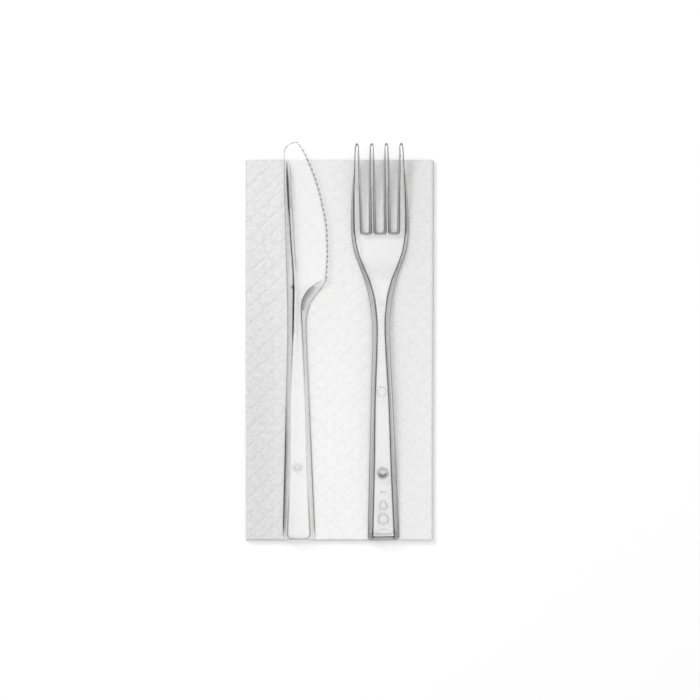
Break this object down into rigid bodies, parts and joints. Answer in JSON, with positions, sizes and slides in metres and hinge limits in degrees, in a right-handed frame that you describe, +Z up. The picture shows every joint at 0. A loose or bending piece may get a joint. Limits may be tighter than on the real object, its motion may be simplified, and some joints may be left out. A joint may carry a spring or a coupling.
{
  "type": "plastic cutlery set with napkin",
  "caption": "Clear plastic knife and fork lying side by side on a folded, embossed white paper napkin.",
  "frame": {"origin": "centre of the napkin's underside, on the table", "axes": "+Y towards the blade's tip and the tines, +X from the knife to the fork, +Z up"},
  "size_m": [0.0814, 0.1738, 0.0114],
  "materials": {
    "tissue": "matt two-ply tissue with an embossed diamond pattern",
    "clear_plastic": "clear polystyrene, glossy"
  },
  "bodies": {
    "root": {"napkin": "tissue", "knife": "clear_plastic", "fork": "clear_plastic"}
  },
  "joints": []
}
